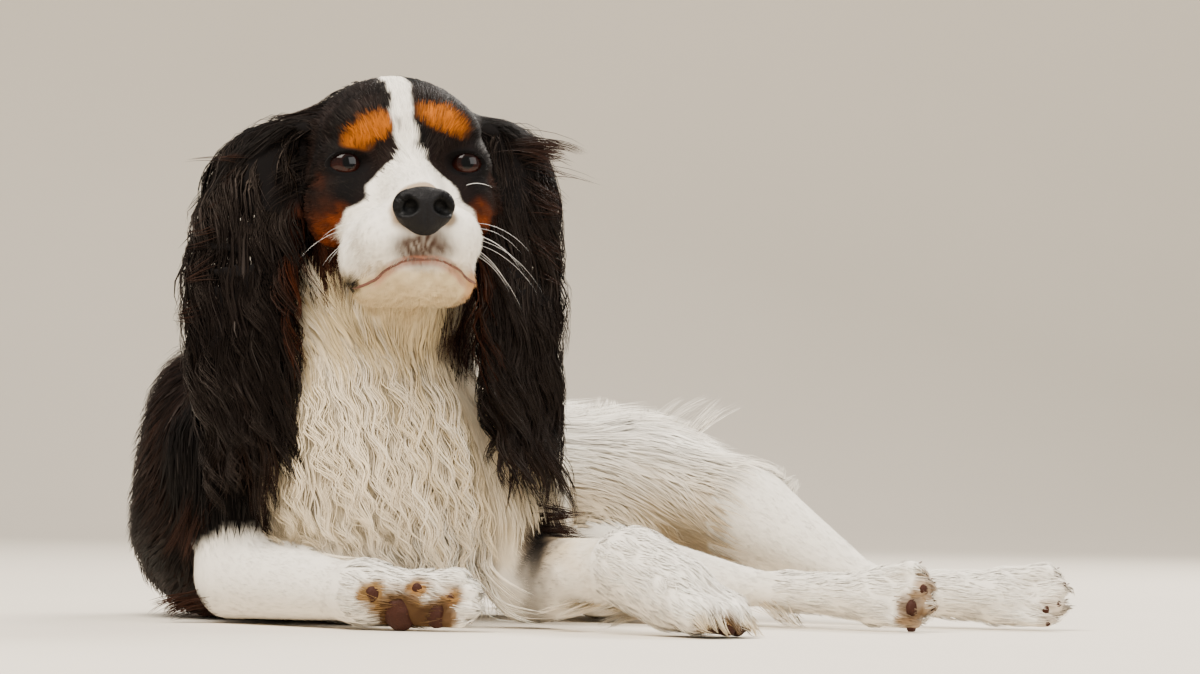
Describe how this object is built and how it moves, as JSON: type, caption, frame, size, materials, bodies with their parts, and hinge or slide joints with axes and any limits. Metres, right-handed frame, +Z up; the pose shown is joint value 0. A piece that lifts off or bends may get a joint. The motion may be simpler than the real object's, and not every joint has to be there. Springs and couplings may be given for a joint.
{
  "type": "spaniel model",
  "caption": "Life-size tricolour cavalier king charles spaniel lying with its chest up, hips rolled to one side and long feathered ears.",
  "frame": {"origin": "on the floor, under the middle of the dog's bounding box", "axes": "+X to the dog's left, where its hind feet point, +Y from its face to its tail, +Z up from the floor"},
  "size_m": [0.5154, 0.431, 0.2835],
  "materials": {
    "face_coat": "short silky fur",
    "ear_coat": "long silky fur",
    "chest_coat": "long wavy fur",
    "dark_coat": "long silky fur",
    "white_coat": "silky fur",
    "nose": "damp leather",
    "eye": "wet gloss"
  },
  "bodies": {
    "root": {"head": "face_coat", "nose": "nose", "eye_left": "eye", "eye_right": "eye", "ear_left": "ear_coat", "ear_right": "ear_coat", "neck": "chest_coat", "chest": "chest_coat", "ribs": "dark_coat", "loin": "white_coat", "rump": "white_coat", "tail": "white_coat", "upper_arm_left": "white_coat", "upper_arm_right": "white_coat", "forearm_left": "white_coat", "forearm_right": "white_coat", "forepaw_left": "white_coat", "forepaw_right": "white_coat", "thigh_left": "white_coat", "thigh_right": "white_coat", "shank_left": "white_coat", "shank_right": "white_coat", "hind_foot_left": "white_coat", "hind_foot_right": "white_coat"}
  },
  "joints": []
}
